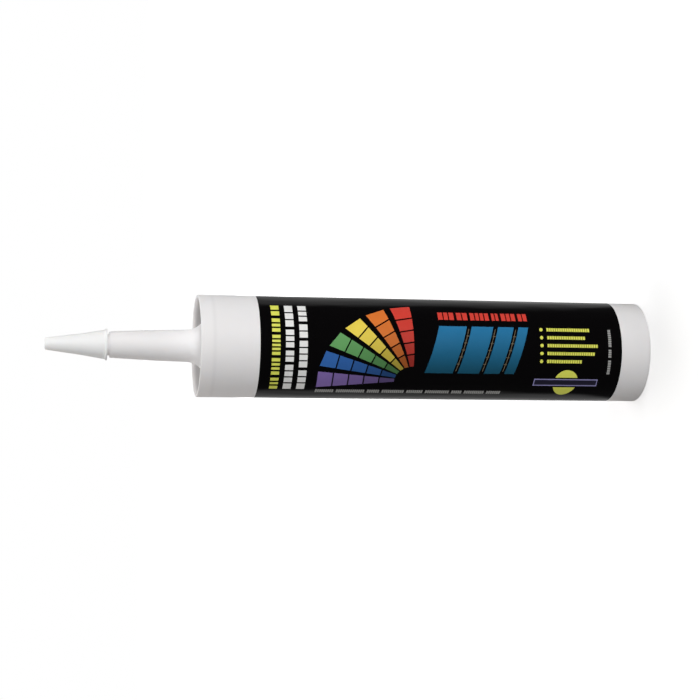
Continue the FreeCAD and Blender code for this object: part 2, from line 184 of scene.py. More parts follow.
# %% Cartridge body
BARREL_LENGTH = 224.5
BARREL_RADIUS = 25.0
RECESS_DEPTH = 5.0
FRONT_WALL = 1.4
FLARE = 10.0
FLARE_STEPS = 12
ROOT_RADIUS = 7.9
KNEE = (7.45, BARREL_LENGTH + 20.0)
SHOULDER = (6.35, BARREL_LENGTH + 41.9)
STUB_RADIUS = 5.3
TIP = (2.4, SHOULDER[1] + 23.0)
NOZZLE_WALL = 1.4
OUTLET_RADIUS = 1.3
RIM_ROUND = 0.4
BORE_ROUND = 0.25
RECESS_ROUND = 0.5
SHOULDER_ROUND = 0.2
TIP_ROUND = 0.3

recess_floor = BARREL_LENGTH - RECESS_DEPTH
wall_back = recess_floor - FRONT_WALL
flare_centre = (ROOT_RADIUS + FLARE, recess_floor + FLARE)
body_section = [
    (BARREL_RADIUS, 0),
    (BARREL_RADIUS, BARREL_LENGTH),
    (bore_radius, BARREL_LENGTH),
    (bore_radius, recess_floor),
    *arc(flare_centre, FLARE, 270, 180, FLARE_STEPS),
    KNEE,
    SHOULDER,
    (STUB_RADIUS, SHOULDER[1]),
    TIP,
    (OUTLET_RADIUS, TIP[1]),
    (STUB_RADIUS - NOZZLE_WALL, SHOULDER[1]),
    (KNEE[0] - NOZZLE_WALL, KNEE[1]),
    *arc(flare_centre, FLARE + NOZZLE_WALL, 180, 270, FLARE_STEPS),
    (bore_radius, wall_back),
    (bore_radius, 0),
]
body_rounds = [
    (BARREL_RADIUS, 0, RIM_ROUND),
    (BARREL_RADIUS, BARREL_LENGTH, RIM_ROUND),
    (bore_radius, BARREL_LENGTH, BORE_ROUND),
    (bore_radius, recess_floor, RECESS_ROUND),
    (*SHOULDER, SHOULDER_ROUND),
    (*TIP, TIP_ROUND),
]
cartridge_shell = turn("cartridge_shell", body_section, body_rounds)

# %% [markdown]
# ## The nozzle cap
# The cap is a thin cone that slips over the nozzle's stub, with a lip at its mouth to pull it off by.
# In the picture the skirt swells gently towards that lip, and the lip itself ends thin and crisp.
# A small arc draws the swell, and the edges keep rounds of a few tenths so that they still catch light.

# %% Nozzle cap
CAP_PLAY = 0.1
CAP_ROOM = 0.6
LIP_THICKNESS = 0.8
FLANGE_HEIGHT = 1.9
SWELL_RISE = 0.9
SWELL_INSET = 0.1
SWELL_STEP = 15
CAP_KNEE_HEIGHT = 12.0
SKIRT_WALL = 1.93
CAP_KNEE_WALL = 1.5
CAP_TIP_RADIUS = 2.85
LIP_ROUND = 0.25
MOUTH_ROUND = 0.15
CAP_TIP_ROUND = 0.8


def stub_radius(height):
    """Radius of the nozzle's stub at a height above the rear rim."""
    share = (height - SHOULDER[1]) / (TIP[1] - SHOULDER[1])
    return STUB_RADIUS + (TIP[0] - STUB_RADIUS) * share


mouth_radius = stub_radius(cap_bottom) + CAP_PLAY
skirt_height = cap_bottom + FLANGE_HEIGHT + SWELL_RISE
skirt_radius = stub_radius(cap_bottom + FLANGE_HEIGHT) + CAP_PLAY + SKIRT_WALL
knee_height = cap_bottom + CAP_KNEE_HEIGHT
knee_radius = stub_radius(knee_height) + CAP_PLAY + CAP_KNEE_WALL
swell_width = skirt_radius - SWELL_INSET - cap_lip_radius
swell_fall = cap_bottom + LIP_THICKNESS - skirt_height
swell = [
    (
        cap_lip_radius + swell_width * math.sin(math.radians(angle)),
        skirt_height + swell_fall * math.cos(math.radians(angle)),
    )
    for angle in range(0, 91, SWELL_STEP)
]
cap_roof = TIP[1] + CAP_ROOM
cap_section = [
    (mouth_radius, cap_bottom),
    (cap_lip_radius, cap_bottom),
    *swell,
    (knee_radius, knee_height),
    (CAP_TIP_RADIUS, cap_top),
    (0, cap_top),
    (0, cap_roof),
    (TIP[0] + CAP_PLAY, cap_roof),
    (TIP[0] + CAP_PLAY, TIP[1]),
]
cap_rounds = [
    (cap_lip_radius, cap_bottom, LIP_ROUND),
    (mouth_radius, cap_bottom, MOUTH_ROUND),
    (CAP_TIP_RADIUS, cap_top, CAP_TIP_ROUND),
]
cap_cone = turn("cap_cone", cap_section, cap_rounds)

# %% [markdown]
# ## The sealant and the plunger
# The sealant is a plain column that fills the bore from the plunger to the foil seal.
# The plunger behind it is a cup with a sealing lip at each end. It is only seen from the rear,
# but there its ribs and boss are what tell it from a plain disc, so they are modelled.
# Each rib is shaped from a thin block of its own, turned to its place around the cup, and joined to it.

# %% Sealant column
SEALANT_ROUND = 0.6

sealant_column = turn(
    "sealant_column",
    [(0, sealant_rear), (bore_radius, sealant_rear), (bore_radius, sealant_front), (0, sealant_front)],
    [(bore_radius, sealant_front, SEALANT_ROUND)],
)

# %% Plunger cup
PLUNGER_WALL = 1.6
LIP_HEIGHT = 3.0
WAIST_DEPTH = 0.9
FRONT_CHAMFER = 1.2
BOSS_RADIUS = 4.5
BOSS_HEIGHT = 3.0
CUP_RIM_ROUND = 0.3
CUP_FLOOR_ROUND = 0.8
BOSS_ROUND = 0.4
BOSS_FOOT_ROUND = 0.5

waist_radius = plunger_radius - WAIST_DEPTH
cup_radius = waist_radius - PLUNGER_WALL
cup_floor = plunger_front - PLUNGER_WALL
boss_end = cup_floor - BOSS_HEIGHT
rear_lip_top = plunger_rear + LIP_HEIGHT
front_lip_base = plunger_front - FRONT_CHAMFER - LIP_HEIGHT
cup_section = [
    (cup_radius, plunger_rear),
    (plunger_radius, plunger_rear),
    (plunger_radius, rear_lip_top),
    (waist_radius, rear_lip_top + WAIST_DEPTH),
    (waist_radius, front_lip_base - WAIST_DEPTH),
    (plunger_radius, front_lip_base),
    (plunger_radius, plunger_front - FRONT_CHAMFER),
    (plunger_radius - FRONT_CHAMFER, plunger_front),
    (0, plunger_front),
    (0, boss_end),
    (BOSS_RADIUS, boss_end),
    (BOSS_RADIUS, cup_floor),
    (cup_radius, cup_floor),
]
cup_rounds = [
    (cup_radius, plunger_rear, CUP_RIM_ROUND),
    (plunger_radius, plunger_rear, CUP_RIM_ROUND),
    (BOSS_RADIUS, boss_end, BOSS_ROUND),
    (BOSS_RADIUS, cup_floor, BOSS_FOOT_ROUND),
    (cup_radius, cup_floor, CUP_FLOOR_ROUND),
]
plunger_cup = turn("plunger_cup", cup_section, cup_rounds)

# %% Plunger ribs
RIB_COUNT = 8
RIB_WIDTH = 1.2
RIB_REACH = 4.0
RIB_DROP = 3.0
RIB_ROUND = 0.15
RIB_SEGMENTS = 2


def join_onto(main, others):
    """Joins pieces into one, which keeps the name of the main one."""
    deselect_all()
    for piece in (main, *others):
        piece.select_set(True)
    bpy.context.view_layer.objects.active = main
    bpy.ops.object.join()


def make_rib(index):
    """A web between the cup's floor and wall, with a slanted free edge."""
    deselect_all()
    inner, outer = cup_radius - RIB_REACH, cup_radius + PLUNGER_WALL / 2
    low, high = rear_lip_top, cup_floor + PLUNGER_WALL / 2
    bpy.ops.mesh.primitive_cube_add(size=1, location=((inner + outer) / 2 * MM, 0, (low + high) / 2 * MM))
    rib = bpy.context.object
    rib.name = rib.data.name = f"rib_{index}"
    rib.scale = ((outer - inner) * MM, RIB_WIDTH * MM, (high - low) * MM)
    bpy.ops.object.transform_apply(location=True, rotation=False, scale=True)
    bpy.ops.object.mode_set(mode="EDIT")
    select_points(rib, lambda co: co.x < inner * MM + NEARBY and co.z < low * MM + NEARBY)
    bpy.ops.transform.translate(value=(0, 0, (cup_floor - RIB_DROP - low) * MM))
    select_points(rib, lambda co: co.x > outer * MM - NEARBY and co.z < low * MM + NEARBY)
    bpy.ops.transform.translate(value=(-PLUNGER_WALL / 2 * MM, 0, 0))
    bpy.ops.mesh.select_all(action="SELECT")
    bpy.ops.mesh.bevel(offset=RIB_ROUND * MM, segments=RIB_SEGMENTS, affect="EDGES")
    bpy.ops.object.mode_set(mode="OBJECT")
    rib.rotation_euler.z = 2 * math.pi * index / RIB_COUNT
    bpy.ops.object.transform_apply(location=False, rotation=True, scale=False)
    return rib


join_onto(plunger_cup, [make_rib(index) for index in range(RIB_COUNT)])
bpy.ops.object.shade_smooth_by_angle(angle=SMOOTH_ANGLE)
print(f"plunger with {RIB_COUNT} ribs, {len(plunger_cup.data.vertices)} points")

# %% [markdown]
# ## The label
# The label is a printed film wrapped round the barrel, and its ends overlap in a lap down the back.
# A sleeve is turned first. Then the faces in a narrow strip at the back are pulled outwards by one
# thickness of film, which leaves the small step that a real lap shows as a hairline of light.
# One more cut beside the lap's edge keeps a narrow margin apart, which will show the film's pale core.

# %% Label sleeve and its lap
LAP_HALF_WIDTH = 3.2
LAP_MARGIN = 0.5
BACK_FACING = 0.9


def select_faces(mesh_object, test):
    """In edit mode, selects the faces that pass a test, and no others."""
    bpy.ops.mesh.select_mode(type="FACE")
    bpy.ops.mesh.select_all(action="DESELECT")
    for face in bmesh.from_edit_mesh(mesh_object.data).faces:
        face.select = test(face)
    bmesh.update_edit_mesh(mesh_object.data)


def select_back(half_width):
    """Selects the outward faces of the sleeve within a distance of the middle of its back."""
    select_faces(
        label_sleeve,
        lambda face: face.normal.y > BACK_FACING and abs(face.calc_center_median().x) < half_width * MM,
    )


label_sleeve = turn(
    "label_sleeve",
    [
        (BARREL_RADIUS, label_rear),
        (label_radius, label_rear),
        (label_radius, label_front),
        (BARREL_RADIUS, label_front),
    ],
)
bpy.ops.object.mode_set(mode="EDIT")
for edge in (-LAP_HALF_WIDTH, LAP_HALF_WIDTH - LAP_MARGIN, LAP_HALF_WIDTH):
    select_back(2 * LAP_HALF_WIDTH)
    bpy.ops.mesh.bisect(plane_co=(edge * MM, 0, 0), plane_no=(1, 0, 0))
select_back(LAP_HALF_WIDTH)
film = (label_radius - BARREL_RADIUS) * MM
bpy.ops.mesh.extrude_region_shrink_fatten(TRANSFORM_OT_shrink_fatten={"value": film})
bpy.ops.object.mode_set(mode="OBJECT")
bpy.ops.object.shade_smooth_by_angle(angle=SMOOTH_ANGLE)
lap_reach = max(vertex.co.y for vertex in label_sleeve.data.vertices)
print(f"lap {2 * LAP_HALF_WIDTH:.1f} mm wide, reaching {lap_reach / MM:.2f} mm from the axis")

# %% [markdown]
# ## The print
# The label carries a generic design: columns of dashes for words, a fan of colour samples, slanted
# stripes, a short list and a round badge. Each ink is a separate thin layer in the frame.
# A flat picture on the label would be quicker, but layers stay sharp at any distance.
# The frame's layers are made of flat facets, so each one is copied, pressed flat in front of the label
# and cleaned to plain outlines. There the finer gaps are cut. Then it is wrapped back onto the film
# and given its thickness, with many narrow faces, so that it follows the curve without facets.
# It is pressed onto a former, a finely divided round just under the ink, and borrows the former's
# normals, so that light runs smoothly over ink and film alike.

# %% Flat copies of the printed layers
FLAT_PLANE = 30.0
SKIN_FACING = -0.3
FLAT_ANGLE = math.radians(0.5)
RECTANGLE_SHARE = 0.98


def activate(piece):
    deselect_all()
    piece.select_set(True)
    bpy.context.view_layer.objects.active = piece


def flat_copy(node, name):
    """A copy of a printed layer's outer skin, pressed flat and cleaned to one face for each field."""
    piece = bpy.data.objects.new(name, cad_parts[node].data.copy())
    piece.data.name = name
    piece.data.materials.clear()
    bpy.context.scene.collection.objects.link(piece)
    activate(piece)
    bpy.ops.object.mode_set(mode="EDIT")
    bpy.ops.mesh.select_all(action="SELECT")
    bpy.ops.mesh.remove_doubles(threshold=MERGE_DISTANCE)
    select_faces(piece, lambda face: face.normal.y > SKIN_FACING)
    bpy.ops.mesh.delete(type="FACE")
    bpy.ops.mesh.select_all(action="SELECT")
    bpy.ops.transform.resize(value=(1, 0, 1), center_override=(0, -FLAT_PLANE * MM, 0))
    bpy.ops.mesh.dissolve_limited(angle_limit=FLAT_ANGLE)
    return piece


def fields(piece):
    """The box of each flat field: its low and high corner, and whether it is a rectangle."""
    found = []
    for face in bmesh.from_edit_mesh(piece.data).faces:
        across = [vertex.co.x for vertex in face.verts]
        height = [vertex.co.z for vertex in face.verts]
        low = Vector((min(across), 0, min(height)))
        high = Vector((max(across), 0, max(height)))
        size = high - low
        found.append((low, high, face.calc_area() > RECTANGLE_SHARE * size.x * size.z))
    return found


# %% Gaps between the blocks
LETTER_PITCH = 0.74
LETTER_GAP = 0.16


def in_box(place, low, high):
    """Whether a place lies in a field's box, seen from in front of the label."""
    return all(low[i] - NEARBY < place[i] < high[i] + NEARBY for i in (0, 2))


def cut_slot(piece, low, high, point, direction, width):
    """Cuts a straight slot through the fields inside a box, and removes what lies in it."""
    for side in (-1, 1):
        select_points(piece, lambda co: in_box(co, low, high))
        plane = point + direction * (side * width / 2)
        bpy.ops.mesh.bisect(plane_co=plane, plane_no=direction)

    def in_slot(face):
        middle = face.calc_center_median()
        return in_box(middle, low, high) and abs((middle - point).dot(direction)) < width / 2

    select_faces(piece, in_slot)
    bpy.ops.mesh.delete(type="FACE")


def cut_letters(piece, low, high, across, pitch=LETTER_PITCH, gap=LETTER_GAP):
    """Cuts a dash that stands for a word into blocks. Pitch and gap are shares of the line's height."""
    axis = Vector((1, 0, 0)) if across else Vector((0, 0, 1))
    size = high - low
    length, line = (size.x, size.z) if across else (size.z, size.x)
    count = max(2, round(length / (pitch * line)))
    for i in range(1, count):
        point = low + axis * (length * i / count)
        cut_slot(piece, low, high, point, axis, gap * line)


# %% Wrapping on the label
WRAP_STEP = 0.8
WRAP_MARGIN = 0.2
INK_THICKNESS = 0.05
FORMER_SIDES = 720


def wrap_on_label(piece):
    """Slices a flat layer finely, presses it onto the label, and gives it its thickness."""
    steps = math.floor((label_radius - WRAP_MARGIN) / WRAP_STEP)
    for i in range(-steps, steps + 1):
        bpy.ops.mesh.select_all(action="SELECT")
        bpy.ops.mesh.bisect(plane_co=(i * WRAP_STEP * MM, 0, 0), plane_no=(1, 0, 0))
    bpy.ops.mesh.select_all(action="SELECT")
    bpy.ops.mesh.normals_make_consistent(inside=False)
    bpy.ops.object.mode_set(mode="OBJECT")
    if piece.data.polygons[0].normal.y > 0:
        piece.data.flip_normals()
    wrap = piece.modifiers.new("wrap", "SHRINKWRAP")
    wrap.target = former
    wrap.wrap_method = "PROJECT"
    wrap.use_project_y = True
    wrap.use_positive_direction = True
    thicken = piece.modifiers.new("thicken", "SOLIDIFY")
    thicken.thickness = INK_THICKNESS * MM
    thicken.offset = 1
    smooth = piece.modifiers.new("smooth", "DATA_TRANSFER")
    smooth.object = former
    smooth.use_loop_data = True
    smooth.data_types_loops = {"CUSTOM_NORMAL"}
    smooth.loop_mapping = "POLYINTERP_NEAREST"
    activate(piece)
    for modifier in ("wrap", "thicken", "smooth"):
        bpy.ops.object.modifier_apply(modifier=modifier)
    rear, front = [pick(v.co.z for v in piece.data.vertices) / MM for pick in (min, max)]
    print(f"{piece.name}: {len(piece.data.polygons)} faces, from {rear:.1f} to {front:.1f} mm")


deselect_all()
bpy.ops.mesh.primitive_cylinder_add(
    vertices=FORMER_SIDES,
    radius=(ink_radius - INK_THICKNESS) * MM,
    depth=BARREL_LENGTH * MM,
    location=(0, 0, BARREL_LENGTH / 2 * MM),
)
former = bpy.context.object
former.name = "former"
bpy.ops.object.transform_apply(location=True)
bpy.ops.object.shade_smooth_by_angle(angle=SMOOTH_ANGLE)

# %% [markdown]
# ### Words
# Words are only hinted at: each dash is cut into small blocks, so a line has the grain of text
# from a step away and says nothing up close. Lines near either end of the label read round the barrel,
# and the others read along it. The first column is the light one, so its blocks stand further apart.

# %% White and lime layers
COLUMN_ZONE = 26.0
SIDE_ZONE = 10.0
LIGHT_PITCH = 0.5
LIGHT_GAP = 0.2


def reads_across(low, high):
    """Whether a dash is in one of the two zones whose lines read round the barrel."""
    middle = (low.z + high.z) / 2 / MM
    return middle > label_front - COLUMN_ZONE or middle < label_rear + SIDE_ZONE


def cut_words(piece, light=False):
    """Cuts all dashes of a layer into blocks. In a light layer the first column's stand further apart."""
    for low, high, rectangle in fields(piece):
        across = reads_across(low, high)
        if rectangle and light and across:
            cut_letters(piece, low, high, across, LIGHT_PITCH, LIGHT_GAP)
        elif rectangle:
            cut_letters(piece, low, high, across)


white_words = flat_copy("print_white", "white_words")
cut_words(white_words)
wrap_on_label(white_words)

lime_words = flat_copy("print_lime", "lime_words")
cut_words(lime_words, light=True)
wrap_on_label(lime_words)

# %% [markdown]
# ### The fan of samples
# A paint fan has several shades on each blade. The blades are cut into cells with black film between,
# and their material will darken from cell to cell towards the pivot.
# The pivot's place is read from the violet blade, which lies along the tube.

# %% Fan blades
BLADE_LENGTH = 47.0
BLADE_INNER = 9.0
CELLS = 5
CELL_GAP = 0.7

violet_low, violet_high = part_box("print_violet")
pivot = Vector(((violet_low.x + violet_high.x) / 2, 0, violet_high.z - BLADE_LENGTH * MM))
fan_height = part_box("print_red")[1].x - pivot.x
print(f"fan pivot {pivot.x / MM:.1f} across, {pivot.z / MM:.1f} mm up, {fan_height / MM:.1f} mm high")


def cut_cells(piece, low, high):
    """Cuts a blade into cells of equal length, square to the line from the pivot through its middle."""
    for face in bmesh.from_edit_mesh(piece.data).faces:
        if in_box(face.calc_center_median(), low, high):
            corners = [vertex.co.copy() for vertex in face.verts]
    middle = sum(corners, Vector()) / len(corners)
    direction = Vector((middle.x - pivot.x, 0, middle.z - pivot.z)).normalized()
    reaches = sorted((corner - pivot).dot(direction) for corner in corners)
    inner, outer = (reaches[0] + reaches[1]) / 2, (reaches[-1] + reaches[-2]) / 2
    for i in range(1, CELLS):
        point = pivot + direction * (inner + (outer - inner) * i / CELLS)
        point.y = -FLAT_PLANE * MM
        cut_slot(piece, low, high, point, direction, CELL_GAP * MM)


blades = {}
for colour in ("red", "orange", "gold", "green", "blue", "violet"):
    blade = flat_copy(f"print_{colour}", f"{colour}_blade")
    for low, high, rectangle in fields(blade):
        if not rectangle:
            cut_cells(blade, low, high)
        elif colour == "red":
            cut_letters(blade, low, high, False)
    blades[colour] = blade
    if colour != "violet":
        wrap_on_label(blade)

# %% [markdown]
# ### The badge
# A band crosses the round badge. On the tube it is a dark strip with a pale violet border.
# Insetting its face once gives both: the rim of narrow faces is the border and what is left is the strip,
# and each gets an ink of its own later.

# %% Badge band
BAND_BORDER = 0.45

violet_blade = blades["violet"]
for low, high, rectangle in fields(violet_blade):
    if rectangle:
        band_low, band_high = low, high
select_faces(violet_blade, lambda face: band_low.z < face.calc_center_median().z < band_high.z)
bpy.ops.mesh.inset(thickness=BAND_BORDER * MM)
print(f"band {(band_high.z - band_low.z) / MM:.1f} by {(band_high.x - band_low.x) / MM:.1f} mm")
wrap_on_label(violet_blade)

# %% [markdown]
# ### Stripes and hairlines
# The slanted stripes are the largest field of colour. Between them the label shows fine beige rules
# with short ticks, which give the eye something small to rest on.
# Each rule starts as a plain strip, and its two ends are then moved along, to lean like its stripes.

# %% Stripes
SIDE_SLACK = 0.1


def stripe_sides(face):
    """Heights of a stripe's corners on its low and its high side, from the lowest up."""
    across = sorted(vertex.co.x for vertex in face.verts)
    low_side = sorted(vertex.co.z for vertex in face.verts if vertex.co.x < across[1] + SIDE_SLACK * MM)
    high_side = sorted(vertex.co.z for vertex in face.verts if vertex.co.x > across[2] - SIDE_SLACK * MM)
    return low_side, high_side


stripes = flat_copy("print_teal", "teal_stripes")
stripe_ends = sorted(map(stripe_sides, bmesh.from_edit_mesh(stripes.data).faces), reverse=True)
stripe_low, stripe_high = [corner.x for corner in fields(stripes)[-1][:2]]
wrap_on_label(stripes)
print(f"{len(stripe_ends)} stripes, {(stripe_high - stripe_low) / MM:.1f} mm high")

# %% Hairlines
HAIRLINE = 0.32
TICK_LENGTH = 1.5
TICK_COUNT = 5
RULE_SHORTENING = 1.2


def flat_strip(name, middle, size):
    """A flat rectangle in front of the label, with its middle and size given across and along."""
    deselect_all()
    bpy.ops.mesh.primitive_plane_add(
        size=1, location=(middle[0], -FLAT_PLANE * MM, middle[1]), rotation=(math.pi / 2, 0, 0)
    )
    strip = bpy.context.object
    strip.name = name
    strip.scale = (size[0], size[1], 1)
    bpy.ops.object.transform_apply(location=True, rotation=True, scale=True)
    return strip


bottom, top = stripe_low + RULE_SHORTENING * MM, stripe_high - RULE_SHORTENING * MM
strips = []
for (near_low, near_high), (far_low, far_high) in zip(stripe_ends, stripe_ends[1:]):
    foot = (near_low[0] + far_low[-1]) / 2
    head = (near_high[0] + far_high[-1]) / 2
    rule = flat_strip("rule", ((bottom + top) / 2, foot), (top - bottom, HAIRLINE * MM))
    bpy.ops.object.mode_set(mode="EDIT")
    for end in (bottom, top):
        lean = (head - foot) * (end - stripe_low) / (stripe_high - stripe_low)
        select_points(rule, lambda co: abs(co.x - end) < NEARBY)
        bpy.ops.transform.translate(value=(0, 0, lean))
    strips.append(rule)
    for i in range(TICK_COUNT):
        share = (i + 1) / (TICK_COUNT + 1)
        place = (bottom + (top - bottom) * share, foot + (head - foot) * share)
        strips.append(flat_strip("tick", place, (HAIRLINE * MM, TICK_LENGTH * MM)))
hairlines = strips[0]
join_onto(hairlines, strips[1:])
hairlines.name = hairlines.data.name = "hairlines"
bpy.ops.object.mode_set(mode="EDIT")
wrap_on_label(hairlines)

deselect_all()
former.select_set(True)
bpy.ops.object.delete()

# %% [markdown]
# ## Joining the frame
# Each piece rides on the body that carries it and stands for the solids it replaces.
# Only the foil seal keeps its frame solid, because nothing of it is seen.
# The sealant can't slide out of the way of the plunger, and it gets a mesh of its own.

carried = [
    (cartridge_shell, "cartridge", "barrel_plastic", "cartridge_body"),
    (cap_cone, "cap", "cap_plastic", "nozzle_cap"),
    (sealant_column, "cartridge", "sealant", "sealant"),
    (plunger_cup, "plunger", "plunger_plastic", "plunger"),
    (label_sleeve, "cartridge", "label_film", "label"),
]
layers = {"white": white_words, "lime": lime_words, "teal": stripes, **blades}
for colour, layer in layers.items():
    carried.append((layer, "cartridge", f"print_{colour}", f"print_{colour}"))
for piece, body, slot, node in carried:
    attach(piece, body)
    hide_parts(node)
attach(hairlines, "cartridge")

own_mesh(sealant_column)

# %% [markdown]
# ## Finishes
# Nothing on the tube is one flat colour. Moulded plastic has a faint mottle and a fine skin, the film has
# long ripples from being stretched round the barrel, and ink is a little uneven on it.
# All of them start from the same effect, so it is one node group. It reads the place on the piece,
# mottles a colour, spreads a roughness, and gives a height for a Bump node.
# A few helpers come first, because wiring nodes by hand makes a material hard to read.

# %% Node tools
def linear(red, green, blue):
    """A colour given as a picture shows it, 0 to 255, turned into the light that it stands for."""
    shares = [level / 255 for level in (red, green, blue)]
    return tuple(s / 12.92 if s <= 0.04045 else ((s + 0.055) / 1.055) ** 2.4 for s in shares) + (1.0,)


def new_group(name, inputs, outputs):
    """An empty node group with named sockets, and its nodes for what comes in and what goes out."""
    group = bpy.data.node_groups.new(name, "ShaderNodeTree")
    for socket, kind, start in inputs:
        made = group.interface.new_socket(name=socket, in_out="INPUT", socket_type=f"NodeSocket{kind}")
        made.default_value = start
    for socket, kind in outputs:
        group.interface.new_socket(name=socket, in_out="OUTPUT", socket_type=f"NodeSocket{kind}")
    return group, group.nodes.new("NodeGroupInput"), group.nodes.new("NodeGroupOutput")


def feed(tree, socket, source):
    """Gives a socket a number, or a link from another node's output."""
    if isinstance(source, bpy.types.NodeSocket):
        tree.links.new(source, socket)
    else:
        socket.default_value = source


def add_node(tree, kind, feeds=(), **settings):
    """A node with its settings, and with what feeds its sockets as pairs of a socket and its source."""
    node = tree.nodes.new(f"ShaderNode{kind}")
    for name, setting in settings.items():
        setattr(node, name, setting)
    for socket, source in feeds:
        feed(tree, node.inputs[socket], source)
    return node


# %% Numbers, colours and places from nodes
def compute(tree, operation, *sources):
    """The result of a Math node for numbers or other nodes' outputs."""
    return add_node(tree, "Math", enumerate(sources), operation=operation).outputs[0]


def ease(tree, source, start, end, at_start=0, at_end=1, kind="SMOOTHSTEP"):
    """A value that turns from one level to another between two places, and is level beyond them."""
    levels = {"Value": source, "From Min": start, "From Max": end, "To Min": at_start, "To Max": at_end}
    return add_node(tree, "MapRange", levels.items(), interpolation_type=kind).outputs["Result"]


def mix(tree, first, second, share, **settings):
    """Two colours or numbers, mixed by the share of the second."""
    feeds = [("A", first), ("B", second), ("Factor", share)]
    return add_node(tree, "Mix", feeds, **settings).outputs["Result"]


def place_on(tree, coordinates="Object"):
    """The place on the piece, or what else the coordinates name."""
    return add_node(tree, "TexCoord").outputs[coordinates]


def split_place(tree):
    """The place on the piece as three numbers: across, in depth, and along the tube."""
    return add_node(tree, "SeparateXYZ", [("Vector", place_on(tree))]).outputs


def scale_colour(tree, colour, factor):
    """A colour made darker or brighter by a factor."""
    return add_node(tree, "VectorMath", [(0, colour), ("Scale", factor)], operation="SCALE").outputs["Vector"]


# %% The surface effect
BROAD_DETAIL = 3
FINE_DETAIL = 2
NOISE_MIDDLE = 0.5


def surface_group():
    """Mottled colour, spread roughness and a fine height, from the place on the piece."""
    numbers = {
        "Mottle": 0.04,
        "Mottle Scale": 60.0,
        "Roughness": 0.4,
        "Spread": 0.08,
        "Grain Scale": 900.0,
        "Along Stretch": 1.0,
    }
    inputs = [("Colour", "Color", (0.8, 0.8, 0.8, 1))]
    inputs += [(name, "Float", start) for name, start in numbers.items()]
    outputs = [("Colour", "Color"), ("Roughness", "Float"), ("Height", "Float")]
    group, given, result = new_group("uneven_surface", inputs, outputs)
    values = given.outputs
    stretch = add_node(group, "CombineXYZ", [("X", 1), ("Y", 1), ("Z", values["Along Stretch"])])
    stretched = [(0, place_on(group)), (1, stretch.outputs["Vector"])]
    place = add_node(group, "VectorMath", stretched, operation="MULTIPLY").outputs["Vector"]

    def noise(scale, detail):
        feeds = [("Vector", place), ("Scale", scale), ("Detail", detail)]
        return add_node(group, "TexNoise", feeds).outputs["Fac"]

    broad = compute(group, "SUBTRACT", noise(values["Mottle Scale"], BROAD_DETAIL), NOISE_MIDDLE)
    shade = compute(group, "MULTIPLY_ADD", broad, values["Mottle"], 1)
    rough = compute(group, "MULTIPLY_ADD", broad, values["Spread"], values["Roughness"])
    feed(group, result.inputs["Colour"], scale_colour(group, values["Colour"], shade))
    feed(group, result.inputs["Roughness"], rough)
    feed(group, result.inputs["Height"], noise(values["Grain Scale"], FINE_DETAIL))
    return group


uneven_surface = surface_group()


# %% A finish with the surface effect
def shader_of(finish):
    return finish.node_tree.nodes["Principled BSDF"]


def effect_of(finish):
    return finish.node_tree.nodes["surface_effect"]


def new_finish(name, colour, bump, bump_depth, **numbers):
    """A material of the surface effect. The numbers go to the effect's sockets of the same names."""
    finish = bpy.data.materials.new(name)
    finish.use_nodes = True
    tree = finish.node_tree
    effect = add_node(tree, "Group", node_tree=uneven_surface, name="surface_effect")
    feed(tree, effect.inputs["Colour"], colour)
    for socket, number in numbers.items():
        feed(tree, effect.inputs[socket.replace("_", " ").title()], number)
    ridges = [("Strength", bump), ("Distance", bump_depth * MM), ("Height", effect.outputs["Height"])]
    sockets = shader_of(finish).inputs
    feed(tree, sockets["Base Color"], effect.outputs["Colour"])
    feed(tree, sockets["Roughness"], effect.outputs["Roughness"])
    feed(tree, sockets["Normal"], add_node(tree, "Bump", ridges).outputs["Normal"])
    return finish


# %% [markdown]
# ## Plastics
# The barrel and cap are white polyethylene. It scatters light under its skin, so a little subsurface
# scattering softens the shading, and its shine is broad. The cap is a touch cleaner and smoother.
# Three marks of painted light and shade go into its colour. A faint ring of painted shade behind the front
# rim stands for the wall in front of the sealant, seen through the barrel. Light gathers in the foot of the
# nozzle and is lost in the corner of the recess around it, more than the lamps show on plain white, so the
# nozzle gets painted light, strongest at its foot, and that corner gets painted shade. All three are worked
# out from the place on the piece, so they stay the same from every side and under any light, and need no
# picture.

# %% White plastics
RING_DISTANCE = 6.6
RING_HALF_WIDTH = 1.6
# Factors for painted shade in the ring and the recess, and for painted light on the nozzle.
RING_PAINTED_SHADE = 0.955
NOZZLE_PAINTED_LIGHT = 1.05
ROOT_PAINTED_LIGHT = 1.12
PAINTED_SHADE_DEPTH = 2.6
PAINTED_SHADE_CORNER = 1.0
RECESS_PAINTED_SHADE = 0.47
SCATTER_COLOURS = (1, 0.9, 0.8)


def scatter(finish, weight, distance):
    """Lets light go a little way under the skin, furthest as red."""
    sockets = shader_of(finish).inputs
    sockets["Subsurface Weight"].default_value = weight
    sockets["Subsurface Radius"].default_value = SCATTER_COLOURS
    sockets["Subsurface Scale"].default_value = distance * MM


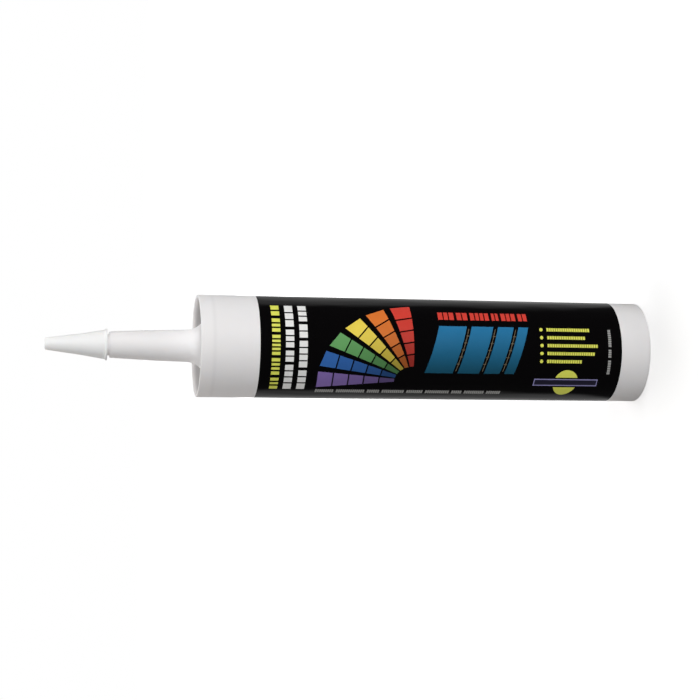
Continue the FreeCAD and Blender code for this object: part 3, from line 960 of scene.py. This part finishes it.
def paint_light_and_shade(finish):
    """Paints shade into a ring round the barrel and into the recess behind its rim, and paints light on the
    nozzle.
    """
    tree = finish.node_tree
    across, depth, height = split_place(tree)
    squares = compute(tree, "MULTIPLY_ADD", across, across, compute(tree, "MULTIPLY", depth, depth))
    radius = compute(tree, "SQRT", squares)
    ring_middle = (BARREL_LENGTH - RING_DISTANCE) * MM
    off_ring = compute(tree, "ABSOLUTE", compute(tree, "SUBTRACT", height, ring_middle))
    # Painted shade: a faint darker ring behind the front rim, for the wall seen through the plastic.
    painted_ring_shade = ease(tree, off_ring, 0, RING_HALF_WIDTH * MM, RING_PAINTED_SHADE, 1)
    # Painted light: the nozzle brighter than the barrel, most at its foot.
    nozzle = ease(tree, height, BARREL_LENGTH * MM, KNEE[1] * MM, ROOT_PAINTED_LIGHT, NOZZLE_PAINTED_LIGHT)
    # Painted shade: darker towards the corner of the recess and towards its floor.
    outward = ease(tree, radius, (ROOT_RADIUS + FLARE / 2) * MM, (bore_radius - PAINTED_SHADE_CORNER) * MM)
    downward = ease(tree, height, (BARREL_LENGTH - PAINTED_SHADE_DEPTH) * MM, BARREL_LENGTH * MM, 1, 0)
    corner = compute(tree, "MULTIPLY", outward, downward)
    front = compute(tree, "MULTIPLY_ADD", corner, -RECESS_PAINTED_SHADE, nozzle)
    above = compute(tree, "GREATER_THAN", height, (recess_floor - RIM_ROUND) * MM)
    within = compute(tree, "LESS_THAN", radius, (bore_radius + RIM_ROUND / 4) * MM)
    in_front = compute(tree, "MULTIPLY", above, within)
    change = compute(tree, "MULTIPLY", in_front, compute(tree, "SUBTRACT", front, 1))
    shade = compute(tree, "MULTIPLY", painted_ring_shade, compute(tree, "ADD", change, 1))
    # The base colour with its painted light and shade.
    painted_light_colour = scale_colour(tree, effect_of(finish).outputs["Colour"], shade)
    feed(tree, shader_of(finish).inputs["Base Color"], painted_light_colour)


# %% The plastics and the paste
barrel_finish = new_finish(
    "barrel_plastic", linear(237, 235, 235), bump=0.12, bump_depth=0.05,
    mottle=0.03, mottle_scale=45, roughness=0.36,
)
scatter(barrel_finish, weight=0.2, distance=2.0)
paint_light_and_shade(barrel_finish)
cap_finish = new_finish(
    "cap_plastic", linear(247, 247, 246), bump=0.08, bump_depth=0.04,
    mottle=0.02, mottle_scale=80, roughness=0.3,
)
scatter(cap_finish, weight=0.25, distance=1.5)
plunger_finish = new_finish(
    "plunger_plastic", linear(226, 228, 226), bump=0.15, bump_depth=0.05,
    mottle=0.05, mottle_scale=70, roughness=0.5,
)
scatter(plunger_finish, weight=0.2, distance=1.5)
sealant_finish = new_finish(
    "sealant_paste", linear(232, 230, 224), bump=0.5, bump_depth=0.3,
    mottle=0.04, roughness=0.55, grain_scale=260,
)
scatter(sealant_finish, weight=0.3, distance=1.0)

# %% [markdown]
# ## Foil, film and ink
# The seal is thin aluminium with a pressed texture. The label is black film with a soft gloss:
# it mirrors the studio as crisp pale bands along its edges, and its ripples run along the tube.
# Ink has a broader, softer shine than the film, so the print stays clear where the film mirrors light.
# The stripes fade from a clear blue at the top to a deep teal at the bottom, and the fan's cells
# darken towards their pivot.

# %% Foil and film
FILM_SHINE = 0.2

foil_finish = new_finish(
    "seal_foil", linear(205, 206, 208), bump=0.4, bump_depth=0.2, mottle=0.05, roughness=0.3, grain_scale=400
)
shader_of(foil_finish).inputs["Metallic"].default_value = 1
film_finish = new_finish(
    "label_film",
    linear(6, 5, 6),
    bump=0.7,
    bump_depth=1.1,
    mottle=0.3,
    roughness=0.14,
    spread=0.06,
    grain_scale=75,
    along_stretch=0.25,
)
shader_of(film_finish).inputs["Specular IOR Level"].default_value = FILM_SHINE
core_finish = new_finish(
    "film_core", linear(214, 213, 208), bump=0.1, bump_depth=0.02, mottle=0.04, roughness=0.6
)

# %% Inks
CELL_SHADES = (0.42, 0.6, 0.78, 0.9, 1.0)


def new_ink(name, colour):
    numbers = {"mottle": 0.08, "mottle_scale": 220, "roughness": 0.38, "spread": 0.1}
    return new_finish(name, colour, bump=0.15, bump_depth=0.03, **numbers)


def fade_across(ink, low_colour, high_colour):
    """Blends the ink between two colours from the foot of the print to its head."""
    tree = ink.node_tree
    share = ease(tree, split_place(tree)["X"], stripe_low, stripe_high, kind="LINEAR")
    blend = mix(tree, low_colour, high_colour, share, data_type="RGBA")
    feed(tree, effect_of(ink).inputs["Colour"], blend)


def shade_cells(ink, colour):
    """Darkens the ink in steps towards the fan's pivot."""
    tree = ink.node_tree
    squash = BLADE_LENGTH * MM / fan_height
    from_pivot = [
        ("Vector", place_on(tree)),
        ("Location", (-pivot.x * squash, 0, -pivot.z)),
        ("Scale", (squash, 0, 1)),
    ]
    moved = add_node(tree, "Mapping", from_pivot, vector_type="POINT").outputs["Vector"]
    distance = add_node(tree, "VectorMath", [(0, moved)], operation="LENGTH").outputs["Value"]
    share = ease(tree, distance, BLADE_INNER * MM, BLADE_LENGTH * MM, kind="LINEAR")
    shades = add_node(tree, "ValToRGB", [("Fac", share)])
    ramp = shades.color_ramp
    ramp.interpolation = "CONSTANT"
    for i, level in enumerate(CELL_SHADES):
        stop = ramp.elements[i] if i < 2 else ramp.elements.new(i / CELLS)
        stop.position = i / CELLS
        stop.color = (level, level, level, 1)
    painted = mix(tree, colour, shades.outputs["Color"], 1, data_type="RGBA", blend_type="MULTIPLY")
    feed(tree, effect_of(ink).inputs["Colour"], painted)


# %% The inks' colours
white_ink = new_ink("white_ink", linear(232, 232, 230))
fine_ink = new_ink("fine_ink", linear(158, 158, 156))
lime_ink = new_ink("lime_ink", linear(222, 225, 92))
beige_ink = new_ink("beige_ink", linear(112, 100, 80))
teal_ink = new_ink("teal_ink", linear(24, 100, 140))
fade_across(teal_ink, linear(6, 74, 98), linear(30, 116, 164))
band_ink = new_ink("band_ink", linear(30, 28, 48))
border_ink = new_ink("band_edge", linear(150, 146, 196))
blade_colours = {
    "red": linear(214, 62, 50),
    "orange": linear(222, 118, 44),
    "gold": linear(234, 210, 78),
    "green": linear(96, 158, 92),
    "blue": linear(44, 98, 170),
    "violet": linear(128, 104, 170),
}
blade_inks = {}
for name, colour in blade_colours.items():
    blade_inks[name] = new_ink(f"{name}_ink", colour)
    shade_cells(blade_inks[name], colour)
print(f"{len(bpy.data.materials)} materials")

# %% [markdown]
# ### Dressing the pieces
# Most pieces have one finish. Three have more, chosen face by face: the film shows its pale core where
# it is cut and along the lap's margin, the smallest blocks are grey where the others are white,
# and the badge's band has a border of another ink. A face's own place tells which it is.

# %% Finishes on their pieces
def dress(piece, *finishes):
    """Gives a piece its finishes, in place of any that it has."""
    piece.data.materials.clear()
    for finish in finishes:
        piece.data.materials.append(finish)


dress(cartridge_shell, barrel_finish)
dress(cap_cone, cap_finish)
dress(sealant_column, sealant_finish)
dress(plunger_cup, plunger_finish)
dress(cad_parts["foil_seal"], foil_finish)
dress(lime_words, lime_ink)
dress(hairlines, beige_ink)
dress(stripes, teal_ink)
for name, blade in blades.items():
    dress(blade, blade_inks[name])
print(f"{len(blades)} blades and {len(layers) - len(blades)} other layers are in their inks")

# %% Pieces with more than one finish
FINE_PRINT_ACROSS = -19.0
CUT_FACING = 0.5
STRIP_PLAY = 0.02

dress(label_sleeve, film_finish, core_finish)
for face in label_sleeve.data.polygons:
    outward = Vector((face.center.x, face.center.y, 0)).normalized()
    cut_edge = abs(face.normal.dot(outward)) < CUT_FACING
    margin = face.center.y > 0 and LAP_HALF_WIDTH - LAP_MARGIN < face.center.x / MM < LAP_HALF_WIDTH
    face.material_index = int(cut_edge or margin)

dress(white_words, white_ink, fine_ink)
for face in white_words.data.polygons:
    place = face.center / MM
    footline = place.x < FINE_PRINT_ACROSS and place.z < label_front - COLUMN_ZONE
    face.material_index = int(footline or place.z < label_rear + SIDE_ZONE)

violet_blade.data.materials.append(border_ink)
violet_blade.data.materials.append(band_ink)
strip_margin = (BAND_BORDER + STRIP_PLAY) * MM
for face in violet_blade.data.polygons:
    place = face.center
    in_strip = (
        band_low.x + strip_margin < place.x < band_high.x - strip_margin
        and band_low.z + strip_margin < place.z < band_high.z - strip_margin
    )
    if band_low.z - MM < place.z < band_high.z + MM:
        face.material_index = 2 if in_strip else 1
fine_faces = sum(face.material_index for face in white_words.data.polygons)
print(f"{fine_faces} of {len(white_words.data.polygons)} faces of the white print are in the finer ink")

# %% [markdown]
# ## The studio
# The tube stands on a white floor in front of white, as in a product picture. Black film is the hard
# part of such a picture, because what it mirrors decides how black it looks. So reflections see a
# studio of their own: dim in front of the tube, which keeps the middle of the film black, and bright
# behind it, which gives the film its crisp pale edges. Only the direction matters for that,
# so one node group works it out, and the room and the floor both use it.

# %% What reflections see
MIRRORED_ROOM = 0.05
MIRRORED_BACKDROP = 0.42
BACKDROP_START = 0.25
BACKDROP_END = 0.5


def mirror_group():
    """How bright the studio is in a reflection, from a direction or a place on the floor."""
    group, given, result = new_group(
        "mirrored_studio", [("Direction", "Vector", (0, 0, 0))], [("Brightness", "Float")]
    )
    onto_level = [(0, given.outputs["Direction"]), (1, (1, 1, 0))]
    level = add_node(group, "VectorMath", onto_level, operation="MULTIPLY").outputs["Vector"]
    unit = add_node(group, "VectorMath", [(0, level)], operation="NORMALIZE").outputs["Vector"]
    behind = add_node(group, "SeparateXYZ", [("Vector", unit)]).outputs["Y"]
    bright = ease(group, behind, BACKDROP_START, BACKDROP_END, MIRRORED_ROOM, MIRRORED_BACKDROP)
    feed(group, result.inputs["Brightness"], bright)
    return group


mirrored_studio = mirror_group()


def mirror_brightness(tree, coordinates):
    """Places the effect in a material, for the directions of a room or the places of a floor."""
    effect = add_node(tree, "Group", node_tree=mirrored_studio)
    feed(tree, effect.inputs["Direction"], place_on(tree, coordinates))
    return effect.outputs["Brightness"]


def whether_seen(tree, paths):
    """1 for what the camera sees, straight or through something clear, and 0 for the rest."""
    return compute(tree, "MAXIMUM", paths["Is Camera Ray"], paths["Is Transmission Ray"])


# %% [markdown]
# ### The floor
# The floor has to look white to the edge of the picture and still carry the tube's shadow.
# A plain white floor would do that only if it were lit more strongly than the tube, so to the camera this
# one also glows a little. The glow is weak near the tube, where the shadow lies, and stronger further
# out. What the floor throws back onto the tube is another matter, so for that it is a dull grey.

# %% Floor
FLOOR_SIZE = 8.0
FLOOR_SHADE = 0.37
GLOW_START = 0.3
GLOW_END = 1.5
GLOW_NEAR = 0.24
GLOW_FAR = 0.74

deselect_all()
bpy.ops.mesh.primitive_plane_add(size=FLOOR_SIZE, location=(0, 0, 0))
floor = bpy.context.object
floor.name = "floor"
floor_paint = bpy.data.materials.new("floor_paint")
floor_paint.use_nodes = True
floor_tree = floor_paint.node_tree
floor_tree.nodes.remove(floor_tree.nodes["Principled BSDF"])


def matt_floor(shade):
    return add_node(floor_tree, "BsdfDiffuse", [("Color", (shade, shade, shade, 1))]).outputs["BSDF"]


def glowing_floor(brightness):
    return add_node(floor_tree, "Emission", [("Color", brightness)]).outputs["Emission"]


def mix_floor(first, second, share):
    """Two layers of the floor, mixed by the share of the second."""
    return add_node(floor_tree, "MixShader", [(0, share), (1, first), (2, second)]).outputs["Shader"]


paths = add_node(floor_tree, "LightPath").outputs
away = add_node(floor_tree, "VectorMath", [(0, place_on(floor_tree))], operation="LENGTH").outputs["Value"]
glow = glowing_floor(ease(floor_tree, away, GLOW_START, GLOW_END, GLOW_NEAR, GLOW_FAR))
mirrored_floor = glowing_floor(mirror_brightness(floor_tree, "Object"))
unseen_floor = mix_floor(matt_floor(FLOOR_SHADE), mirrored_floor, paths["Is Glossy Ray"])
seen_floor = add_node(floor_tree, "AddShader", [(0, matt_floor(1)), (1, glow)]).outputs["Shader"]
whole_floor = mix_floor(unseen_floor, seen_floor, whether_seen(floor_tree, paths))
feed(floor_tree, floor_tree.nodes["Material Output"].inputs["Surface"], whole_floor)
dress(floor, floor_paint)
print(f"floor {FLOOR_SIZE:.0f} m across, full glow {GLOW_END} m from the tube")

# %% [markdown]
# ### The room
# The room is pure white to the camera and dim for everything else. Its even light only fills
# the shadows, and the shape of the white plastic comes from the lights.

# %% Room
ROOM_LIGHT = 0.33

world = bpy.data.worlds.new("room")
bpy.context.scene.world = world
world.use_nodes = True
room = world.node_tree
paths = add_node(room, "LightPath").outputs
mirrored_room = mirror_brightness(room, "Generated")
unseen_room = mix(room, ROOM_LIGHT, mirrored_room, paths["Is Glossy Ray"], data_type="FLOAT")
whole_room = mix(room, unseen_room, 1, whether_seen(room, paths), data_type="FLOAT")
feed(room, room.nodes["Background"].inputs["Color"], whole_room)
print(f"room light {ROOM_LIGHT}, and 1 to the camera")

# %% [markdown]
# ### The lights
# The key is the brightest and stands on the side that the picture shows as its top, not far from
# the camera. A weak warm bounce lifts the other side, and the back light draws both outlines.
# The overhead light shines down the tube's length into the recess and on the foot of the nozzle.
# Only the small top light is mirrored, as a soft glint. The film would mirror the large ones as grey.

# %% Lights
MIDDLE = Vector((0, 0, BARREL_LENGTH / 2 * MM))


def soft_light(name, turn_degrees, rise, distance, size, watts, colour=(1, 1, 1), mirrored=False):
    """An area light aimed at the tube, turned from the camera's side towards the picture's top."""
    angle = math.radians(turn_degrees)
    away = Vector((math.sin(angle), -math.cos(angle), rise)).normalized()
    lamp = bpy.data.lights.new(name, "AREA")
    lamp.shape = "RECTANGLE"
    lamp.size, lamp.size_y = size
    lamp.energy = watts
    lamp.color = colour
    light = bpy.data.objects.new(name, lamp)
    light.location = MIDDLE + away * distance
    light.rotation_euler = (-away).to_track_quat("-Z", "Y").to_euler()
    light.visible_glossy = mirrored
    bpy.context.scene.collection.objects.link(light)


soft_light("key", turn_degrees=27, rise=0.1, distance=1.6, size=(1.2, 0.42), watts=16.2)
soft_light(
    "bounce", turn_degrees=-125, rise=0.25, distance=1.2, size=(0.8, 0.6), watts=3.0, colour=(1, 0.9, 0.82)
)
soft_light("back", turn_degrees=180, rise=0.35, distance=1.6, size=(1.6, 1.0), watts=11.5)
soft_light("top", turn_degrees=70, rise=1.0, distance=1.2, size=(0.4, 0.4), watts=1.4, mirrored=True)
soft_light("overhead", turn_degrees=180, rise=8.0, distance=1.2, size=(0.5, 0.5), watts=4.5)
print(f"{len(bpy.data.lights)} lights, {sum(lamp.energy for lamp in bpy.data.lights):.1f} W in all")

# %% [markdown]
# ## The camera
# The picture was taken from a little above the middle of the tube, looking slightly towards its rear end,
# and then turned on its side so that the nozzle points left. The camera's place and angles were fitted
# to the outline of the barrel and nozzle, with no lens shift.

# %% Camera
SENSOR = 36.0
LENS = 81.57
CLIP_START = 0.01
CAMERA_PLACE = (0, -0.7736, 0.2986)
PAN = 0.0642
TILT = -11.011
ROLL = -89.1356

camera_data = bpy.data.cameras.new("camera")
camera_data.sensor_width = SENSOR
camera_data.lens = LENS
camera_data.clip_start = CLIP_START
camera = bpy.data.objects.new("camera", camera_data)
bpy.context.scene.collection.objects.link(camera)
turned = (
    Matrix.Rotation(math.radians(PAN), 4, "Z")
    @ Matrix.Rotation(math.radians(90 + TILT), 4, "X")
    @ Matrix.Rotation(math.radians(ROLL), 4, "Z")
)
camera.matrix_world = Matrix.Translation(CAMERA_PLACE) @ turned
bpy.context.scene.camera = camera
bpy.context.scene.view_settings.view_transform = "Standard"
print(f"{LENS:.0f} mm lens, {-CAMERA_PLACE[1] / MM:.0f} mm in front of the tube's axis")
